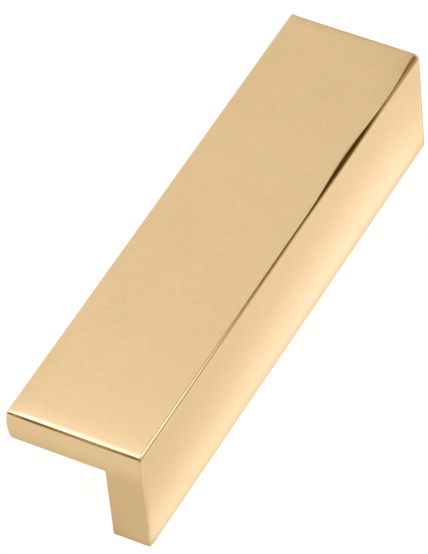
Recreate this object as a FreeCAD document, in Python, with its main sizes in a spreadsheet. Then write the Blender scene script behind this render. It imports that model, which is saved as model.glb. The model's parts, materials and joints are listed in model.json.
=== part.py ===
"""Tab pull: a length of thick brass L section, screwed to a drawer front from behind.

Frame, in millimetres: the origin is the centre of the foot, the face that meets the drawer front.
+Z points away from the drawer front, +X runs along the pull and +Y is the way the tab overhangs.
"""

import FreeCAD
import Part
import Sketcher

import math
import os

# Driving dimensions: alias, value and what it measures
SIZES = [
    ("overall_length", 101.6, "end to end, along X"),
    ("tab_width", 25.4, "outer face of the leg to the tip of the tab"),
    ("projection", 22.225, "foot to the broad face of the tab"),
    ("tab_thickness", 6.35, "thickness of the tab"),
    ("leg_thickness", 7.14, "thickness of the leg, and width of the foot"),
    ("tip_crown", 0.43, "how far the tip of the tab bulges between its two edges"),
    ("finger_radius", 0.8, "rounding of the tip's hidden edge, where the fingers hook"),
    ("inside_radius", 0.2, "rounding of the corner between tab and leg"),
    ("outer_radius", 0.5, "rounding of the outer face's edges, all but the one at the foot"),
    ("edge_radius", 0.25, "polished break on every other edge"),
    ("screw_spacing", 76.2, "centre to centre of the two screw holes"),
    ("tap_drill", 3.454, "diameter of the drilled hole, for an 8-32 thread"),
    ("tap_depth", 12.7, "depth of the drilled hole at its full diameter"),
    ("drill_angle", 118.0, "point angle of the drill, in degrees"),
    ("mouth_diameter", 4.2, "diameter of the hole's countersunk mouth"),
    ("mouth_angle", 90.0, "angle of the countersunk mouth, in degrees"),
]

SHEET = "Sizes"
NODE = "tab_pull"

# Ends of a line or an arc, and its middle, as a sketch numbers them
START, END, CENTRE = 1, 2, 3
ORIGIN = (-1, START)

# Two faces that turn by less than this where they meet, in degrees, run smoothly into each other
SMOOTH_TURN = 10.0

# How near two lengths are when they are the same, in millimetres
SAME = 1e-4


def cell(alias):
    """The expression that reads one driving dimension."""
    return f"{SHEET}.{alias}"


def make_sheet(doc):
    """The spreadsheet of driving dimensions, one row each."""
    sheet = doc.addObject("Spreadsheet::Sheet", SHEET)
    for row, (alias, value, meaning) in enumerate(SIZES, start=1):
        sheet.set(f"A{row}", alias)
        sheet.set(f"B{row}", str(value))
        sheet.set(f"C{row}", meaning)
        sheet.setAlias(f"B{row}", alias)
    doc.recompute()
    return sheet


def sketch_on(body, name, plane):
    """An empty sketch on one of the body's own origin planes."""
    sketch = body.newObject("Sketcher::SketchObject", name)
    planes = {feature.Role: feature for feature in body.Origin.OriginFeatures}
    sketch.AttachmentSupport = [(planes[plane], "")]
    sketch.MapMode = "FlatFace"
    return sketch


def dimension(sketch, sheet, alias, kind, *places):
    """Adds a dimension to a sketch, named after the cell that drives it."""
    now = sketch.addConstraint(Sketcher.Constraint(kind, *places, sheet.get(alias)))
    sketch.renameConstraint(now, alias)
    sketch.setExpression(f"Constraints.{alias}", cell(alias))


def draw_section(body, sheet):
    """The L section in the YZ plane, as one closed outline that starts at the foot."""
    sketch = sketch_on(body, "Section", "YZ_Plane")

    half_leg = sheet.leg_thickness / 2
    half_tab = sheet.tab_thickness / 2
    top = sheet.projection
    underside = top - sheet.tab_thickness
    tip = sheet.tab_width - half_leg
    inside = sheet.inside_radius
    finger = sheet.finger_radius

    # The crowned tip is an arc through the tip's two edges and its bulge, centred at half thickness
    crown_radius = (half_tab**2 + sheet.tip_crown**2) / (2 * sheet.tip_crown)
    crown_y = tip - crown_radius
    crown_z = underside + half_tab
    crown_end = math.asin(half_tab / crown_radius)

    # The finger edge's arc lies inside the crown's and touches it and the underside
    finger_drop = half_tab - finger
    finger_y = crown_y + math.sqrt((crown_radius - finger) ** 2 - finger_drop**2)
    touch = math.atan2(-finger_drop, finger_y - crown_y)

    def line(y0, z0, y1, z1):
        return sketch.addGeometry(Part.LineSegment(FreeCAD.Vector(y0, z0), FreeCAD.Vector(y1, z1)))

    def arc(y, z, radius, start, end):
        circle = Part.Circle(FreeCAD.Vector(y, z), FreeCAD.Vector(0, 0, 1), radius)
        return sketch.addGeometry(Part.ArcOfCircle(circle, start, end))

    foot = line(-half_leg, 0, half_leg, 0)
    leg_inner = line(half_leg, 0, half_leg, underside - inside)
    inside_arc = arc(half_leg + inside, underside - inside, inside, math.pi / 2, math.pi)
    tab_under = line(half_leg + inside, underside, finger_y, underside)
    finger_arc = arc(finger_y, underside + finger, finger, -math.pi / 2, touch)
    crown_arc = arc(crown_y, crown_z, crown_radius, touch, crown_end)
    face = line(tip - sheet.tip_crown, top, -half_leg, top)
    outer = line(-half_leg, top, -half_leg, 0)
    chord = line(tip - sheet.tip_crown, top, tip - sheet.tip_crown, underside)
    bulge = sketch.addGeometry(Part.Point(FreeCAD.Vector(tip, crown_z)))
    sketch.setConstruction(chord, True)
    sketch.setConstruction(bulge, True)

    rules = [
        ("Coincident", foot, END, leg_inner, START),
        ("Tangent", leg_inner, END, inside_arc, END),
        ("Tangent", inside_arc, START, tab_under, START),
        ("Tangent", tab_under, END, finger_arc, START),
        ("Tangent", finger_arc, END, crown_arc, START),
        ("Coincident", crown_arc, END, face, START),
        ("Coincident", face, END, outer, START),
        ("Coincident", outer, END, foot, START),
        ("Horizontal", foot),
        ("Vertical", leg_inner),
        ("Horizontal", tab_under),
        ("Horizontal", face),
        ("Vertical", outer),
        ("Symmetric", foot, START, foot, END, *ORIGIN),
        ("Coincident", chord, START, face, START),
        ("Vertical", chord),
        ("PointOnObject", chord, END, tab_under),
        ("PointOnObject", chord, END, crown_arc),
        ("PointOnObject", bulge, START, crown_arc),
        ("Horizontal", crown_arc, CENTRE, bulge, START),
    ]
    sketch.addConstraint([Sketcher.Constraint(*rule) for rule in rules])

    dimension(sketch, sheet, "leg_thickness", "DistanceX", foot, START, foot, END)
    dimension(sketch, sheet, "projection", "DistanceY", outer, END, outer, START)
    dimension(sketch, sheet, "tab_thickness", "DistanceY", tab_under, START, face, END)
    dimension(sketch, sheet, "tab_width", "DistanceX", outer, START, bulge, START)
    dimension(sketch, sheet, "tip_crown", "DistanceX", face, START, bulge, START)
    dimension(sketch, sheet, "inside_radius", "Radius", inside_arc)
    dimension(sketch, sheet, "finger_radius", "Radius", finger_arc)
    return sketch


def extrude(body, section):
    """The section run out to the pull's length, half to each side of the origin."""
    bar = body.newObject("PartDesign::Pad", "Bar")
    bar.Profile = section
    bar.SideType = "Symmetric"
    bar.setExpression("Length", cell("overall_length"))
    return bar


def turn_at(edge, faces):
    """The angle in degrees between the normals of two faces, at the middle of the edge they share."""
    middle = edge.valueAt((edge.FirstParameter + edge.LastParameter) / 2)
    normals = [face.normalAt(*face.Surface.parameter(middle)) for face in faces]
    return math.degrees(normals[0].getAngle(normals[1]))


def sharp_edges(shape, wanted=lambda edge: True):
    """The names of the shape's edges that are not smooth, where wanted(edge) holds."""
    names = []
    for number, edge in enumerate(shape.Edges, start=1):
        faces = shape.ancestorsOfType(edge, Part.Face)
        if len(faces) == 2 and turn_at(edge, faces) > SMOOTH_TURN and wanted(edge):
            names.append(f"Edge{number}")
    return names


def round_edges(body, name, base, edges, alias):
    """A fillet on the named edges of the feature before it."""
    fillet = body.newObject("PartDesign::Fillet", name)
    fillet.Base = (base, edges)
    fillet.setExpression("Radius", cell(alias))
    return fillet


def polish(doc, body, bar, sheet):
    """The edges of the outer face above the foot, softened, and then a fine break on every other edge."""
    outer_y = -sheet.leg_thickness / 2

    def on_outer_face(edge):
        box = edge.BoundBox
        return box.YMax < outer_y + SAME and box.ZMax > SAME

    rounds = round_edges(body, "OuterRounds", bar, sharp_edges(bar.Shape, on_outer_face), "outer_radius")
    doc.recompute()
    breaks = round_edges(body, "Breaks", rounds, sharp_edges(rounds.Shape), "edge_radius")
    doc.recompute()
    return breaks


def drill(doc, body, sheet):
    """The two blind holes in the foot, drilled for tapping, each with a countersunk mouth."""
    centres = sketch_on(body, "ScrewCentres", "XY_Plane")
    half_spacing = sheet.screw_spacing / 2
    upward = FreeCAD.Vector(0, 0, 1)
    left, right = [
        centres.addGeometry(Part.Circle(FreeCAD.Vector(side * half_spacing, 0), upward, sheet.tap_drill / 2))
        for side in (-1, 1)
    ]
    rules = [
        ("Symmetric", left, CENTRE, right, CENTRE, *ORIGIN),
        ("Horizontal", left, CENTRE, right, CENTRE),
        ("Equal", left, right),
    ]
    centres.addConstraint([Sketcher.Constraint(*rule) for rule in rules])
    dimension(centres, sheet, "screw_spacing", "DistanceX", left, CENTRE, right, CENTRE)
    dimension(centres, sheet, "tap_drill", "Diameter", left)
    doc.recompute()

    holes = body.newObject("PartDesign::Hole", "ScrewHoles")
    holes.Profile = centres
    holes.ThreadType = "None"
    holes.DepthType = "Dimension"
    holes.DrillPoint = "Angled"
    holes.HoleCutType = "Countersink"
    holes.Reversed = True
    holes.setExpression("Diameter", cell("tap_drill"))
    holes.setExpression("Depth", cell("tap_depth"))
    holes.setExpression("DrillPointAngle", cell("drill_angle"))
    holes.setExpression("HoleCutDiameter", cell("mouth_diameter"))
    holes.setExpression("HoleCutCountersinkAngle", cell("mouth_angle"))
    doc.recompute()
    return holes


def check(doc, body, solid_before, holes):
    """Stops the build if a feature failed, or if the holes took no metal away."""
    for item in doc.Objects:
        if "Invalid" in item.State or "Error" in item.State:
            raise RuntimeError(f"{item.Name} failed: {item.State}")
    if body.Shape.isNull() or not body.Shape.isValid() or len(body.Shape.Solids) != 1:
        raise RuntimeError("the pull is not one valid solid")
    if holes.Shape.Volume >= solid_before:
        raise RuntimeError("the screw holes cut nothing")


def main():
    doc = FreeCAD.newDocument("TabPull")
    sheet = make_sheet(doc)
    body = doc.addObject("PartDesign::Body", "Body")
    body.Label = NODE
    section = draw_section(body, sheet)
    doc.recompute()
    bar = extrude(body, section)
    doc.recompute()
    polished = polish(doc, body, bar, sheet)
    holes = drill(doc, body, sheet)
    check(doc, body, polished.Shape.Volume, holes)
    os.makedirs("parts", exist_ok=True)
    body.Shape.exportStep(os.path.join("parts", f"{body.Label}.step"))


main()
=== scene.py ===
"""A tab pull of polished brass on a white floor, seen from above its near end.

Lengths are in metres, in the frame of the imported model: the foot is at Z = 0, +X runs along the pull,
away from the camera, and +Y is the way the tab overhangs.
"""

import json
import math

import bmesh
import bpy
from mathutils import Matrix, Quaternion, Vector


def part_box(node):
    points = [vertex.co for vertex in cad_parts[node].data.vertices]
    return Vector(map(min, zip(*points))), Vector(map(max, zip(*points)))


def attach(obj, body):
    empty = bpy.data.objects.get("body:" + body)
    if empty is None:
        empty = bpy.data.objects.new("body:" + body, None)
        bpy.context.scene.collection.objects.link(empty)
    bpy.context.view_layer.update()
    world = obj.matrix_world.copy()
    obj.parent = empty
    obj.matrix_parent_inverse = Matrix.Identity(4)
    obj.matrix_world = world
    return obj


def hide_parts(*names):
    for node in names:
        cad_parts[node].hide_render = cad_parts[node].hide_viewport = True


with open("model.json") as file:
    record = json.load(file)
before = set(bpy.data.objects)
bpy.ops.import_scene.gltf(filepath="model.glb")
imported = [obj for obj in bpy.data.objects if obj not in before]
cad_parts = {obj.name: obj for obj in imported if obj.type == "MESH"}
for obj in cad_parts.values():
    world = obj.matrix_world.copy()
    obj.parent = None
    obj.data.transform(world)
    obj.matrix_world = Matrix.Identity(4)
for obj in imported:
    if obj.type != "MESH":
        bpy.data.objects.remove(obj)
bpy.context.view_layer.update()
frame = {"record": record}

MM = 0.001
BODY = "root"
NODE = "tab_pull"

# The pull's sizes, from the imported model's box and, where the box can't say, by name
LOW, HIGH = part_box(NODE)
HALF_LENGTH = HIGH.x
HALF_LEG = -LOW.y
TIP = HIGH.y
TOP = HIGH.z
TAB_THICKNESS = 6.35 * MM
UNDERSIDE = TOP - TAB_THICKNESS
TIP_CROWN = 0.43 * MM
FINGER_RADIUS = 0.8 * MM
INSIDE_RADIUS = 0.2 * MM
OUTER_RADIUS = 0.5 * MM
EDGE_RADIUS = 0.25 * MM

# The long outer edge is softened this far over the broad face and this far down the outer face
EDGE_OVER, EDGE_DOWN = 0.33 * MM, 1.15 * MM
# The rounding of the two ends: at the broad face, and at every other edge but the upright outer ones
TOP_END_RADIUS = 0.4 * MM
END_RADIUS = 0.24 * MM
# The upright outer edges are rounded this far along the outer face and this far over the end
UPRIGHT_ALONG, UPRIGHT_OVER = 1.2 * MM, 0.35 * MM
# How deep into the section its outer and upper edges give way to the rounding of an end
GIVE = 2.5 * MM
# How far along the pull the places of the rings take to even out, past the rounding of an end
EVEN_OUT = 2 * MM

# The hand polish: how steeply it draws the broad face down at its ends and beside its long outer edge,
# and how far in from them, and how near the tip it eases off
END_SLOPE, END_REACH = math.tan(math.radians(10)), 0.9 * MM
EDGE_SLOPE, EDGE_REACH = math.tan(math.radians(0.7)), 0.7 * MM
TIP_EASE, TIP_LEFT = 4 * MM, 0.4
# Where the polishing wheel dwelt on the long outer edge, and where it spared it: place along X, half length,
# how much more than elsewhere it took over the broad face, and how far it tipped that face beside the edge
DWELLS = [
    (23.5 * MM, 8 * MM, 0.8 * MM, math.tan(math.radians(5))),
    (52 * MM, 7 * MM, 1.2 * MM, math.tan(math.radians(11))),
    (6 * MM, 7 * MM, -0.09 * MM, 0.0),
]

# The screw holes: where they are comes from the record, and the thread is a standard 8-32
SCREWS = next(m for m in frame["record"]["mounts"] if m["name"] == "screw_holes")["dims"]
HOLE_X = SCREWS["spacing_x_mm"] * MM / 2
THREAD_MINOR = SCREWS["hole_r_mm"] * MM
THREAD_MAJOR = 2.083 * MM
THREAD_PITCH = 0.794 * MM
THREAD_DEPTH = 11.0 * MM
# The share of the thread's height that is left flat at its crest, and at its root
THREAD_FLAT = 0.12
DRILL_DEPTH = 12.7 * MM
DRILL_ANGLE = math.radians(118)
MOUTH_RADIUS = 2.1 * MM

# The camera, fitted to the photograph's edges
CAMERA_AT = Vector((-0.513039, -0.316126, 0.663969))
LOOKING = Vector((0.573958, 0.365898, -0.732592))
ROLL = math.radians(-6.0946)
SENSOR = 36.0
LENS = 341.18


# Small helpers


def smooth(low, high, value):
    """0 below low, 1 above high, and a smooth step between."""
    t = min(max((value - low) / (high - low), 0.0), 1.0)
    return t * t * (3 - 2 * t)


def mixed(start, end, low, high, value):
    """A smooth step from start to end as a value goes from low to high."""
    return start + (end - start) * smooth(low, max(high, low + 1e-6), value)


def between_stops(stops, value):
    """A value read off a list of (place, value) stops, straight between them."""
    if value <= stops[0][0]:
        return stops[0][1]
    for (low, start), (high, end) in zip(stops, stops[1:]):
        if value <= high:
            return start + (end - start) * (value - low) / (high - low)
    return stops[-1][1]


def spaced(low, high, count):
    """Evenly spaced values from low to high."""
    return [low + (high - low) * i / (count - 1) for i in range(count)]


def linked(name, data):
    """A new object in the scene."""
    made = bpy.data.objects.new(name, data)
    bpy.context.scene.collection.objects.link(made)
    return made


# The section's outline


def arc(y, z, radius, start, end, steps):
    """Points and outward normals along an arc of the section, by its angles in degrees."""
    turns = [math.radians(turn) for turn in spaced(start, end, steps + 1)]
    side = 1 if end > start else -1
    return [
        (y + radius * math.cos(t), z + radius * math.sin(t), side * math.cos(t), side * math.sin(t))
        for t in turns
    ]


def between(start, end, gaps):
    """Points inside a straight run, at these distances from each end, with the run's outward normal."""
    y0, z0, normal_y, normal_z = start
    y1, z1 = end[:2]
    run = math.hypot(y1 - y0, z1 - z0)
    near = [g for g in gaps if g < 0.45 * run]
    shares = [g / run for g in near] + [0.5] + [1 - g / run for g in reversed(near)]
    return [(y0 + (y1 - y0) * s, z0 + (z1 - z0) * s, normal_y, normal_z) for s in shares]


def outer_edge(more, steps):
    """The softened edge between the broad face and the outer face.

    It is a quarter of an ellipse, drawn out by this much more over the broad face.
    """
    points = []
    for t in spaced(0, math.pi / 2, steps + 1):
        left = 1 - math.sin(t)
        y = -HALF_LEG + EDGE_OVER * left + more * left**3
        z = TOP - EDGE_DOWN * (1 - math.cos(t))
        across = EDGE_OVER + 3 * more * left**2
        normal = Vector((-EDGE_DOWN * math.sin(t), across * math.cos(t))).normalized()
        points.append((y, z, *normal))
    return points


def section(more):
    """The L section's outline, anticlockwise from the foot's outer edge, as (y, z, normal y, normal z).

    The long outer edge is drawn out by this much more than its even softening.
    """
    half_tab = TAB_THICKNESS / 2
    crown_radius = (half_tab**2 + TIP_CROWN**2) / (2 * TIP_CROWN)
    crown_y, crown_z = TIP - crown_radius, UNDERSIDE + half_tab

    # The hidden edge of the tip touches the crown and the underside
    drop = half_tab - FINGER_RADIUS
    finger_y = crown_y + math.sqrt((crown_radius - FINGER_RADIUS) ** 2 - drop**2)
    touch = math.degrees(math.atan2(-drop, finger_y - crown_y))

    # The tip's upper edge touches the crown and the broad face
    rise = half_tab - EDGE_RADIUS
    edge_y = crown_y + math.sqrt((crown_radius - EDGE_RADIUS) ** 2 - rise**2)
    crest = math.degrees(math.atan2(rise, edge_y - crown_y))

    small = EDGE_RADIUS
    corners = [
        arc(-HALF_LEG + small, small, small, 180, 270, 8),
        arc(HALF_LEG - small, small, small, 270, 360, 8),
        arc(HALF_LEG + INSIDE_RADIUS, UNDERSIDE - INSIDE_RADIUS, INSIDE_RADIUS, 180, 90, 8),
        arc(finger_y, UNDERSIDE + FINGER_RADIUS, FINGER_RADIUS, 270, 360 + touch, 10)[:-1]
        + arc(crown_y, crown_z, crown_radius, touch, crest, 16)[:-1]
        + arc(edge_y, TOP - small, small, crest, 90, 8),
        outer_edge(more, 18),
    ]
    gaps = [g * MM for g in (0.12, 0.3, 0.55, 0.9, 1.3, 1.8, 2.4, 3.2, 4.2, 5.6, 7.5)]
    outline = []
    for corner, following in zip(corners, corners[1:] + corners[:1]):
        outline += corner + between(corner[-1], following[0], gaps)
    return outline


# The bar, with its ends rounded over and its edges polished by hand


def edge_softening(x):
    """How much further the long outer edge is drawn out at a place along X, and the slope beside it."""
    more, slope = 0.0, EDGE_SLOPE
    for at, half, most, tip in DWELLS:
        dwelt = math.exp(-(((x - at) / half) ** 2))
        more, slope = more + dwelt * most, slope + dwelt * tip
    return more, slope


def polished_away(x, y):
    """How far the polish has lowered the broad face at a point."""
    at_end = END_SLOPE * END_REACH * math.exp(-(HALF_LENGTH - abs(x)) / END_REACH)
    at_end *= mixed(TIP_LEFT, 1, 0, TIP_EASE, TIP - y)
    return at_end + edge_softening(x)[1] * EDGE_REACH * math.exp(-max(y + HALF_LEG, 0.0) / EDGE_REACH)


def end_radius(y, normal_y, normal_z):
    """The rounding of the pull's ends at a point of the section: larger on its outer and broad faces."""
    outward, upward = max(-normal_y, 0.0), max(normal_z, 0.0)
    if y > -HALF_LEG + OUTER_RADIUS and normal_z < 0.5:
        return END_RADIUS
    from_side = (UPRIGHT_ALONG - END_RADIUS) * outward**2
    from_above = (TOP_END_RADIUS - END_RADIUS) * upward**2 * smooth(0, 2 * MM, TIP - y)
    return END_RADIUS + from_side + from_above


def ring_places():
    """How each ring of the bar is placed: its side, its turn round the end's edge, and how far past that."""
    turns = [math.radians(turn) for turn in (0, 15, 30, 45, 58, 68, 76, 82, 86, 90)]
    gaps = [g * MM for g in (0.12, 0.3, 0.55, 0.9, 1.3, 1.8, 2.4, 3.2, 4.2, 5.4, 7.0, 9.0)]
    pitch = 2 * MM
    half = HALF_LENGTH - END_RADIUS
    count = round((half - gaps[-1]) / pitch)
    gaps += [gaps[-1] + (half - gaps[-1]) * i / count for i in range(1, count)]
    near = [(-1, turn, 0.0) for turn in reversed(turns)] + [(-1, 0.0, gap) for gap in gaps]
    return near + [(1, 0.0, half)] + [(1, turn, gap) for _, turn, gap in reversed(near)]


def ring_point(point, side, turn, gap):
    """A point of the outline, put in its ring: rounded over by the end and lowered by the polish."""
    y, z, normal_y, normal_z = point
    radius = end_radius(y, normal_y, normal_z)
    spread = END_RADIUS + (radius - END_RADIUS) * math.exp(-gap / EVEN_OUT)
    x = side * (HALF_LENGTH - gap - spread + radius * math.sin(turn))
    inset = 1 - math.cos(turn)
    below = 1 - smooth(0, GIVE, TOP - z)
    inward = UPRIGHT_OVER * (1 - smooth(0, GIVE, y + HALF_LEG)) - END_RADIUS * max(normal_y, 0.0)
    downward = TOP_END_RADIUS * below if y < 0 < normal_z else radius * normal_z
    y, z = y + inset * inward, z - inset * downward
    return x, y, z - polished_away(x, y) * below


def skin(bm, rings):
    """Joins each ring of points to the next with faces."""
    for low, high in zip(rings, rings[1:]):
        for i in range(len(low)):
            j = (i + 1) % len(low)
            bm.faces.new((low[i], low[j], high[j], high[i]))


def finished(bm, name):
    """The mesh of what has been built, with its faces turned outward."""
    bmesh.ops.recalc_face_normals(bm, faces=bm.faces)
    mesh = bpy.data.meshes.new(name)
    bm.to_mesh(mesh)
    bm.free()
    return mesh


def bar_mesh():
    """The bar as a mesh: the outline at each place along X, closed at both ends."""
    bm = bmesh.new()
    rings = []
    for side, turn, gap in ring_places():
        more = edge_softening(side * (HALF_LENGTH - END_RADIUS - gap))[0]
        rings.append([bm.verts.new(ring_point(point, side, turn, gap)) for point in section(more)])
    skin(bm, rings)
    bm.faces.new(list(reversed(rings[0])))
    bm.faces.new(rings[-1])
    return finished(bm, "pull")


# The threaded holes


def thread_radius(turn, z):
    """The wall's distance from the hole's axis: a 60 degree thread that runs out above its full depth."""
    phase = (z / THREAD_PITCH - turn / (2 * math.pi)) % 1.0
    ridge = 1 - abs(2 * phase - 1)
    cut = min(max((ridge - THREAD_FLAT) / (1 - 2 * THREAD_FLAT), 0.0), 1.0)
    run_out = 1 - smooth(THREAD_DEPTH - 1.5 * THREAD_PITCH, THREAD_DEPTH, z)
    return THREAD_MINOR + (THREAD_MAJOR - THREAD_MINOR) * cut * run_out


def hole_cutter(x):
    """The empty space of one hole: countersunk mouth, thread, plain bore and drill point."""
    around, per_pitch = 48, 10
    below = 0.3 * MM
    rows = round(DRILL_DEPTH / THREAD_PITCH * per_pitch)
    bm = bmesh.new()
    rings = []
    for z in [-below] + [DRILL_DEPTH * row / rows for row in range(rows + 1)]:
        ring = []
        for k in range(around):
            turn = 2 * math.pi * k / around
            radius = max(thread_radius(turn, z), MOUTH_RADIUS - z)
            ring.append(bm.verts.new((x + radius * math.cos(turn), radius * math.sin(turn), z)))
        rings.append(ring)
    point = bm.verts.new((x, 0, DRILL_DEPTH + THREAD_MINOR / math.tan(DRILL_ANGLE / 2)))
    skin(bm, rings)
    for i in range(around):
        bm.faces.new((rings[-1][i], rings[-1][(i + 1) % around], point))
    bm.faces.new(list(reversed(rings[0])))
    return linked("hole", finished(bm, "hole"))


def applied(piece):
    """Makes a piece's modifiers part of its mesh."""
    bpy.context.view_layer.update()
    graph = bpy.context.evaluated_depsgraph_get()
    shown = piece.evaluated_get(graph)
    mesh = bpy.data.meshes.new_from_object(shown, preserve_all_data_layers=True, depsgraph=graph)
    piece.modifiers.clear()
    piece.data = mesh


def make_pull():
    """The pull, as one piece: the bar, drilled and tapped, and shaded as a polished surface."""
    made = linked("polished_pull", bar_mesh())
    for side in (-1, 1):
        cutter = hole_cutter(side * HOLE_X)
        cut = made.modifiers.new("drill", "BOOLEAN")
        cut.operation = "DIFFERENCE"
        cut.solver = "EXACT"
        cut.object = cutter
        applied(made)
        bpy.data.objects.remove(cutter)
    made.data.shade_smooth()
    made.data.set_sharp_from_angle(angle=math.radians(35))
    even = made.modifiers.new("even_normals", "WEIGHTED_NORMAL")
    even.keep_sharp = True
    applied(made)
    made.data.materials.clear()
    made.data.materials.append(brass())
    return made


# Materials


def new_material(name):
    """An empty node material, with its tree."""
    material = bpy.data.materials.new(name)
    material.use_nodes = True
    material.node_tree.nodes.clear()
    return material, material.node_tree


def add(tree, kind, values=None, **settings):
    """A node, with settings on the node and values on its inputs; a value that is a socket is linked."""
    made = tree.nodes.new(kind)
    for key, value in settings.items():
        setattr(made, key, value)
    for key, value in (values or {}).items():
        if isinstance(value, bpy.types.NodeSocket):
            tree.links.new(value, made.inputs[key])
        else:
            made.inputs[key].default_value = value
    return made


def ranged(tree, value, low, high):
    """A noise's usual range, spread from low to high."""
    node = add(tree, "ShaderNodeMapRange", {
        "Value": value, "From Min": 0.3, "From Max": 0.7, "To Min": low, "To Max": high,
    })
    return node.outputs["Result"]


def brass():
    """Polished brass: a faint cloudiness in its colour and gloss, and the finest of wheel marks."""
    material, tree = new_material("polished_brass")
    place = add(tree, "ShaderNodeTexCoord").outputs["Object"]
    cloud = add(tree, "ShaderNodeTexNoise", {
        "Vector": place, "Scale": 160.0, "Detail": 5.0, "Roughness": 0.62,
    }).outputs["Fac"]
    tint = add(tree, "ShaderNodeValToRGB", {"Fac": cloud})
    tint.color_ramp.elements[0].position = 0.3
    tint.color_ramp.elements[0].color = (0.880, 0.632, 0.343, 1)
    tint.color_ramp.elements[1].position = 0.7
    tint.color_ramp.elements[1].color = (0.908, 0.654, 0.359, 1)
    grain = add(tree, "ShaderNodeTexNoise", {
        "Vector": place, "Scale": 1500.0, "Detail": 3.0, "Roughness": 0.6,
    }).outputs["Fac"]
    colour = add(tree, "ShaderNodeVectorMath", {
        0: tint.outputs["Color"], "Scale": ranged(tree, grain, 0.975, 1.025),
    }, operation="SCALE")
    along = add(tree, "ShaderNodeMapping", {"Vector": place, "Scale": (300.0, 9000.0, 9000.0)})
    wheel = add(tree, "ShaderNodeTexNoise", {"Vector": along.outputs["Vector"], "Scale": 1.0, "Detail": 2.0})
    marks = add(tree, "ShaderNodeBump", {
        "Height": wheel.outputs["Fac"], "Strength": 0.02, "Distance": 0.00002,
    })
    metal = add(tree, "ShaderNodeBsdfPrincipled", {
        "Base Color": colour.outputs["Vector"],
        "Metallic": 1.0,
        "Roughness": ranged(tree, cloud, 0.09, 0.125),
        "Specular Tint": (1.0, 0.917, 0.784, 1),
        "Normal": marks.outputs["Normal"],
    })
    add(tree, "ShaderNodeOutputMaterial", {"Surface": metal.outputs["BSDF"]})
    return material


def seen_directly(tree):
    """1 for a ray that the camera, a mirror or a clear surface sends, and 0 for one that carries light."""
    path = add(tree, "ShaderNodeLightPath").outputs
    either = add(tree, "ShaderNodeMath", {
        0: path["Is Camera Ray"], 1: path["Is Glossy Ray"],
    }, operation="MAXIMUM")
    any_of = add(tree, "ShaderNodeMath", {
        0: either.outputs["Value"], 1: path["Is Transmission Ray"],
    }, operation="MAXIMUM")
    return any_of.outputs["Value"]


def floor_material():
    """A white floor that shows as white, and keeps a soft shadow under the pull."""
    material, tree = new_material("white_floor")
    lit = add(tree, "ShaderNodeBsdfDiffuse", {"Color": (0.3, 0.3, 0.3, 1)})
    dull = add(tree, "ShaderNodeBsdfDiffuse", {"Color": (0.8, 0.8, 0.8, 1)})
    white = add(tree, "ShaderNodeEmission", {"Color": (1, 1, 1, 1), "Strength": 0.88})
    shown = add(tree, "ShaderNodeAddShader", {0: lit.outputs["BSDF"], 1: white.outputs["Emission"]})
    mix = add(tree, "ShaderNodeMixShader", {
        "Fac": seen_directly(tree), 1: dull.outputs["BSDF"], 2: shown.outputs["Shader"],
    })
    add(tree, "ShaderNodeOutputMaterial", {"Surface": mix.outputs["Shader"]})
    return material


def card_material():
    """A studio card that shows the metal as much painted light and shade as its mesh says."""
    material, tree = new_material("card")
    glow = add(tree, "ShaderNodeAttribute", attribute_name="glow")
    light = add(tree, "ShaderNodeEmission", {"Color": glow.outputs["Color"], "Strength": 1.0})
    add(tree, "ShaderNodeOutputMaterial", {"Surface": light.outputs["Emission"]})
    return material


# The levels of the studio's cards, whose glow is painted light and shade that only the metal sees: painted
# highlights, reflections and dark lines in the brass. A glow of 1 is white, and lists of number pairs are
# (place, value) stops.

# The cards' distance from the edges that they wrap round, and the studio's radius
COVE, DOME = 250 * MM, 600 * MM
# How far the near end's card runs on past what its edge mirrors
SPARE = 25 * MM
# How many rows of points a wrapped card has
WRAP_ROWS = 83

# The studio's soft lights, painted as glow onto the dome that only the metal sees: which way each lies, and
# its spread in degrees
PAINTED_LIGHTS = [
    (Vector((-0.8, -0.4, 0.3)), 20),
    (Vector((-0.75, 0.45, 0.3)), 24),
    (Vector((0.45, 0.8, 0.35)), 24),
    (Vector((0.9, -0.3, 0.2)), 24),
    (Vector((0, 0, 1)), 28),
]
# The studio's own glow, and what its painted lights add
STUDIO_GLOW, PAINTED_LIGHT_GLOW = 0.55, 0.55

# Over the broad face, a card whose glow paints the broad face's reflection: its height, its columns of
# points along Y, and its glow by place along X, with these places in millimetres
OVER_HEIGHT = 298 * MM
OVER_COLUMNS = (60, 141, 146, 150, 160, 168, 177, 400)
OVER_TOP = [
    (120, 1.12), (155, 1.08), (166, 1.0), (180, 0.9), (195, 0.865), (233, 0.842), (273, 0.83), (283, 0.80),
    (500, 0.6),
]
# How much that glow changes over the near end and over the far end, by place along Y, and the places along X
# between which the first change fades out and the second one sets in. The changes are painted shade, with a
# little painted light at the far end
OVER_NEAR = [(168, 0.0), (177, -0.08)]
OVER_FAR = [(141, -0.16), (146, -0.07), (150, 0.0), (160, 0.06)]
OVER_NEAR_FADES, OVER_FAR_SETS_IN = (175, 195), (280, 330)

# Round the near end's top edge: the least and the most that the metal there leans from the broad face, in
# degrees, and the card's painted light and shade by place along Y, in millimetres, which give that edge its
# painted highlight and painted dark line
END_LEANS = (2.5, 64)
END_LIGHT = [(96, 1.35), (100, 2.3)]
END_SHADE = [
    (96, 0.1), (98, 0.25), (100, 0.4), (105, 0.58), (111, 0.5), (115, 0.38), (119, 0.18), (125, 0.1),
]
# How the card's glow rises towards that light, by lean, the leans between which it is that light, and the
# lean from which it is that shade
END_RISE = [(2.5, 1.0), (4.2, 1.15), (5.2, 1.6)]
END_LIT, END_SHADED = (6, 15), 24

# Round the long outer edge, a card whose window of painted light and dark frame of painted shade give that
# edge its highlight and dark line: where along it the card runs, in millimetres, the lean at which its dark
# frame begins, with the glow there, the lean at which that is darkest, and how far its window is open, by
# lean
SIDE_RUN = (-78, 110)
FRAME_BEGINS, FRAME_DARKEST = (1.2, 0.82), 8
WINDOW = [(34, 0.0), (42, 1.0)]
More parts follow.
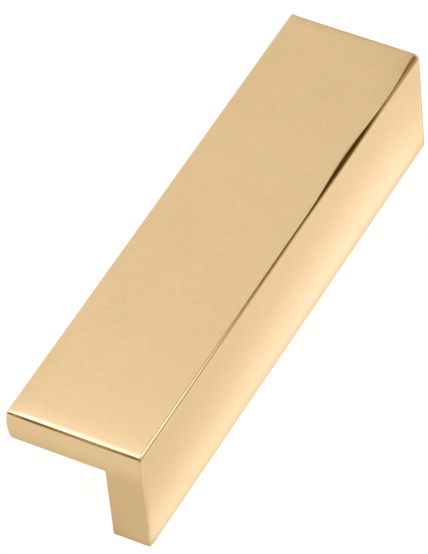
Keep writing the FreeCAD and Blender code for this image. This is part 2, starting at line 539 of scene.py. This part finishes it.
# The window's painted light and its frame's painted glow, by place along the edge, in millimetres
WINDOW_LIGHT = [
    (-54, 3.4), (-48, 3.1), (-42, 2.5), (-35, 1.9), (-25, 1.0), (-15, 0.4), (-8, 0.15), (-2, 0.1), (5, 0.06),
    (12, 0.07), (18, 0.13), (31, 0.13), (38, 0.42), (42, 0.6), (46, 0.5), (50, 0.48),
]
WINDOW_FRAME = [
    (-42, 0.35), (-22, 0.3), (-7, 0.12), (5, 0.03), (12, 0.04), (17, 0.03), (30, 0.03), (36, 0.18),
    (42, 0.28), (50, 0.26),
]

# On the floor, cards that only the metal sees, with painted shade close round the pull and a painted pool of
# light close beside its outer face: glow by distance from the pull, in millimetres, before its ends, behind
# it, and before the near and the far part of its outer face
FRONT = [
    (0, 0.48), (0.4, 0.67), (1, 0.70), (11, 0.70), (13, 0.84), (18, 0.84), (25, 0.75), (36, 0.5), (55, 0.25),
    (105, 0.12),
]
REAR = [(0, 0.75), (20, 1.0), (60, 0.9), (200, 0.4)]
SIDE_NEAR = [
    (0, 0.75), (0.3, 1.08), (0.7, 1.15), (1.2, 1.17), (1.7, 1.13), (3.6, 1.0), (5.5, 0.92), (7.4, 0.87),
    (9.2, 0.84), (11, 0.87), (13.5, 0.97), (16, 0.91), (18, 0.8), (21.5, 0.7), (30, 0.62), (51, 0.52),
    (92, 1.0), (200, 2.3),
]
SIDE_FAR = [
    (0, 0.75), (0.3, 1.08), (1.2, 1.28), (1.7, 1.29), (3.6, 1.17), (5.5, 1.05), (7.4, 0.98), (9.2, 0.95),
    (13.5, 0.96), (17, 0.87), (21.5, 0.73), (30, 0.54), (51, 0.33), (66, 0.23), (92, 0.15), (200, 0.06),
]
# How much further along than itself the outer face mirrors the floor, by distance
ONWARD = [(0, 0), (11, 17), (34, 28), (51, 40), (92, 66), (400, 290)]
# Where along the outer face its near part gives way to its far part, up to this distance and beyond it
CLOSE_BY, CHANGES_CLOSE_BY, CHANGES_BEYOND = 20, (-58, 35), (-45, 0)
# How much painted shade the floor's cards take before the far end's foot, where along the face that sets
# in, and between which distances it fades
FOOT_DIM, FOOT_DIM_SETS_IN, FOOT_DIM_FADES = 0.1, (38, 52), (3, 8)
# The least glow before the far end, and where along the face that sets in
FAR_LEAST, FAR_LEAST_SETS_IN = 0.46, (32, 44)
# Where along X the floor before the near end gives way to the floor before the outer face
FRONT_ENDS = (-56, -46)
# How much painted shade darkens the floor's cards out from the near upright edge, by distance, and how far
# in from the near end that sets in and is full, as shares of the distance
CORNER = [
    (0, 0.13), (4, 0.11), (6.3, 0.06), (8.6, 0.01), (11, 0.03), (13.3, 0.1), (16, 0.07), (20, 0.04), (60, 0),
]
CORNER_SETS_IN, CORNER_FULL = 1.1, 0.2
# How much painted shade dims the floor's card before the near end under the tab, the distance over which
# that fades, where along Y it sets in, and how far aside the end mirrors the floor, as a share of the
# distance
TAB_DIM, TAB_DIM_REACH, TAB_DIM_SETS_IN, ASIDE = 0.17, 4.5, (-1, 4.5), 0.64
# The distances at which the floor's cards have points
FLOOR_STEPS = [
    0, 0.3, 0.7, 1.2, 2, 3.6, 5.5, 7.4, 9.2, 11, 12, 13.5, 16, 18, 21.5, 25, 30, 36, 45, 55, 66, 92, 130,
    200, 400,
]


# The cards, each made as rows of (point, glow)


def over_glow(x, y):
    """The painted glow of the card over the broad face at a place, in millimetres."""
    near, far = 1 - smooth(*OVER_NEAR_FADES, x), smooth(*OVER_FAR_SETS_IN, x)
    change = near * between_stops(OVER_NEAR, y) + far * between_stops(OVER_FAR, y)
    return between_stops(OVER_TOP, x) * (1 + change)


def over_top():
    """The card over the broad face, which paints that face's reflection."""
    high = TOP + OVER_HEIGHT
    first, last = OVER_TOP[0][0], OVER_TOP[-1][0]
    return [
        [(Vector((x * MM, y * MM, high)), over_glow(x, y)) for y in OVER_COLUMNS]
        for x in spaced(first, last, 77)
    ]


def end_glow(lean, y):
    """The painted glow round the near end's top edge, by the lean of the metal, in degrees, and place along
    Y.
    """
    light, shade = between_stops(END_LIGHT, y), between_stops(END_SHADE, y)
    rise = [(at, min(glow, light)) for at, glow in END_RISE]
    lit = [(at, light) for at in END_LIT]
    return between_stops(rise + lit + [(END_SHADED, shade)], lean)


def round_end():
    """The card wrapped round the near end's top edge, which paints its highlight and dark line."""
    level = math.atan2(-LOOKING.z, LOOKING.x)
    aside = COVE * LOOKING.y / math.hypot(LOOKING.x, LOOKING.z)
    across = (aside - HALF_LEG - SPARE, *(y * MM for y, _ in END_SHADE), aside + TIP + SPARE)
    rows = []
    for lean in spaced(*END_LEANS, WRAP_ROWS):
        turn = level + 2 * math.radians(lean)
        x, z = -HALF_LENGTH + COVE * math.cos(turn), TOP + COVE * math.sin(turn)
        rows.append([(Vector((x, y, z)), end_glow(lean, y / MM)) for y in across])
    return rows


def round_side():
    """The card wrapped round the long outer edge, down to the floor, which paints its highlight and dark
    line.
    """
    to_edge = Vector((0, -HALF_LEG, TOP)) - CAMERA_AT
    level = math.atan2(-to_edge.z, to_edge.y)
    lowest = 0.5 * math.degrees(math.pi + math.asin(TOP / COVE) - level)
    rows = []
    for lean in spaced(FRAME_BEGINS[0], lowest, WRAP_ROWS):
        turn = level + 2 * math.radians(lean)
        y, z = -HALF_LEG + COVE * math.cos(turn), TOP + COVE * math.sin(turn)
        row = []
        for along in spaced(*SIDE_RUN, 95):
            onward = COVE * (to_edge.x + along * MM) / math.hypot(to_edge.y, to_edge.z)
            light = between_stops(WINDOW_LIGHT, along)
            rim = between_stops([FRAME_BEGINS, (FRAME_DARKEST, between_stops(WINDOW_FRAME, along))], lean)
            glow = rim + (light - rim) * between_stops(WINDOW, lean)
            row.append((Vector((along * MM + onward, y, z)), glow))
        rows.append(row)
    return rows


def side_glow(x, step):
    """The painted glow of the floor's card before the outer face, by place along X and distance, in
    millimetres.
    """
    along = x - between_stops(ONWARD, step)
    near, far = between_stops(SIDE_NEAR, step), between_stops(SIDE_FAR, step)
    changes = CHANGES_CLOSE_BY if step < CLOSE_BY else CHANGES_BEYOND
    share = smooth(*changes, along)

    # It has painted shade close to the far end's foot, and keeps some painted light further out there
    dim = FOOT_DIM * smooth(*FOOT_DIM_SETS_IN, along) * (1 - smooth(*FOOT_DIM_FADES, step))
    least = FAR_LEAST * smooth(*FAR_LEAST_SETS_IN, along)
    glow = max((near + (far - near) * share) * (1 - dim), least)

    # Past the near end it is the floor before that end, and has its deepest painted shade out from the edge
    # between them
    glow = mixed(between_stops(FRONT, step), glow, *FRONT_ENDS, x)
    darker = glow * (1 - between_stops(CORNER, step))
    return mixed(glow, darker, -CORNER_SETS_IN * step, -CORNER_FULL * step, -HALF_LENGTH / MM - x)


def front_glow(y, step):
    """The painted glow of the floor's card before the near end: painted shade under the tab, close to the
    leg's inner face.
    """
    dim = TAB_DIM * math.exp(-step / TAB_DIM_REACH) * smooth(*TAB_DIM_SETS_IN, y - ASIDE * step)
    return between_stops(FRONT, step) * (1 - dim)


def painted_floor_cards():
    """The four cards of painted floor shade and light that lie round the pull, by name. Each fades into the
    next across their corner.
    """
    lift = 0.05 * MM
    shares = spaced(0, 1, 31)
    # Each card holds painted shade and painted light of the floor, as the metal mirrors it
    cards = {"painted_floor_front": [], "painted_floor_side": [], "painted_floor_back": [], "painted_floor_rear": []}
    for step in FLOOR_STEPS:
        d = step * MM
        corners = [
            Vector((-HALF_LENGTH - d, TIP + d, lift)),
            Vector((-HALF_LENGTH - d, -HALF_LEG - d, lift)),
            Vector((HALF_LENGTH + 2.5 * d, -HALF_LEG - d, lift)),
            Vector((HALF_LENGTH + d, TIP + d, lift)),
        ]
        front, side, back, rear = [
            [corners[start].lerp(corners[end], share) for share in shares]
            for start, end in ((0, 1), (1, 2), (3, 2), (3, 0))
        ]
        ends, behind = between_stops(FRONT, step), between_stops(REAR, step)
        near, far = side_glow(side[0].x / MM, step), side_glow(side[-1].x / MM, step)
        cards["painted_floor_side"].append([(p, side_glow(p.x / MM, step)) for p in side])
        cards["painted_floor_front"].append([
            (p, mixed(front_glow(p.y / MM, step), near, 0, d, -HALF_LEG - p.y)) for p in front
        ])
        cards["painted_floor_back"].append([(p, mixed(ends, far, 0, d, -HALF_LEG - p.y)) for p in back])
        cards["painted_floor_rear"].append([(p, mixed(behind, ends, 0, d, abs(p.x) - HALF_LENGTH)) for p in rear])
    return cards


def dome():
    """The studio round it all: dim, with soft lights painted on it about as bright as the floor."""
    rows = []
    for rise in (math.radians(angle) for angle in spaced(0, 90, 25)):
        row = []
        for turn in (math.radians(angle) for angle in spaced(0, 360, 97)):
            flat = math.cos(rise)
            way = Vector((flat * math.cos(turn), flat * math.sin(turn), math.sin(rise)))
            light = sum(math.exp(-((math.degrees(way.angle(painted_light)) / spread) ** 2)) for painted_light, spread in PAINTED_LIGHTS)
            row.append((way * DOME, STUDIO_GLOW + PAINTED_LIGHT_GLOW * min(light, 1.0)))
        rows.append(row)
    return rows


def card_colour(glow):
    """A card's colour: white where lit, coolest where brightest, and a painted warmer brown the deeper its
    shade.
    """
    shade = min(max(1 - glow / 0.9, 0.0) ** 1.5 + 0.4 * max(0.5 - glow, 0.0), 1.05)
    deepest = max(0.12 - glow, 0.0)
    shine = min(max(glow - 0.95, 0.0), 0.4)
    green = 1 - 0.31 * shade - 2.2 * deepest
    blue = 1 - 0.95 * shade + 0.5 * shine
    return glow, glow * green, glow * blue, 1.0


def make_card(name, rows, material):
    """A card that only the metal sees."""
    wide = len(rows[0])
    cells = [(i, j) for i in range(len(rows) - 1) for j in range(wide - 1)]
    faces = [
        (i * wide + j, i * wide + j + 1, (i + 1) * wide + j + 1, (i + 1) * wide + j) for i, j in cells
    ]
    spots = [spot for row in rows for spot in row]
    mesh = bpy.data.meshes.new(name)
    mesh.from_pydata([point for point, _ in spots], [], faces)
    colours = [part for _, glow in spots for part in card_colour(glow)]
    mesh.attributes.new("glow", "FLOAT_COLOR", "POINT").data.foreach_set("color", colours)
    mesh.materials.append(material)
    made = linked(name, mesh)
    made.visible_camera = made.visible_diffuse = made.visible_shadow = False


def make_cards():
    """The cards that the metal mirrors."""
    material = card_material()
    wraps = {"over_top": over_top(), "round_end": round_end(), "round_side": round_side(), "dome": dome()}
    cards = {**wraps, **painted_floor_cards()}
    for name, rows in cards.items():
        make_card(name, rows, material)


# The stage and the camera


def make_floor():
    """A wide plain floor."""
    half = 2.0
    corners = [(-half, -half, 0), (half, -half, 0), (half, half, 0), (-half, half, 0)]
    mesh = bpy.data.meshes.new("floor")
    mesh.from_pydata(corners, [], [(0, 1, 2, 3)])
    mesh.materials.append(floor_material())
    floor = linked("floor", mesh)


def make_world():
    """A soft even light that shows as white."""
    world = bpy.data.worlds.new("studio")
    world.use_nodes = True
    tree = world.node_tree
    tree.nodes.clear()
    fill = add(tree, "ShaderNodeBackground", {"Color": (1, 1, 1, 1), "Strength": 0.5})
    white = add(tree, "ShaderNodeBackground", {"Color": (1, 1, 1, 1), "Strength": 1.0})
    mix = add(tree, "ShaderNodeMixShader", {
        "Fac": seen_directly(tree), 1: fill.outputs["Background"], 2: white.outputs["Background"],
    })
    add(tree, "ShaderNodeOutputWorld", {"Surface": mix.outputs["Shader"]})
    bpy.context.scene.world = world


def make_camera():
    """The photograph's viewpoint."""
    data = bpy.data.cameras.new("camera")
    data.sensor_width = SENSOR
    data.lens = LENS
    data.clip_start, data.clip_end = 0.01, 20
    made = linked("camera", data)
    made.location = CAMERA_AT
    made.rotation_mode = "QUATERNION"
    made.rotation_quaternion = LOOKING.to_track_quat("-Z", "Y") @ Quaternion((0, 0, 1), ROLL)
    bpy.context.scene.camera = made


make_camera()
pull = make_pull()
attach(pull, BODY)
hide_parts(NODE)
make_floor()
make_cards()
make_world()
bpy.context.scene.view_settings.view_transform = "Standard"
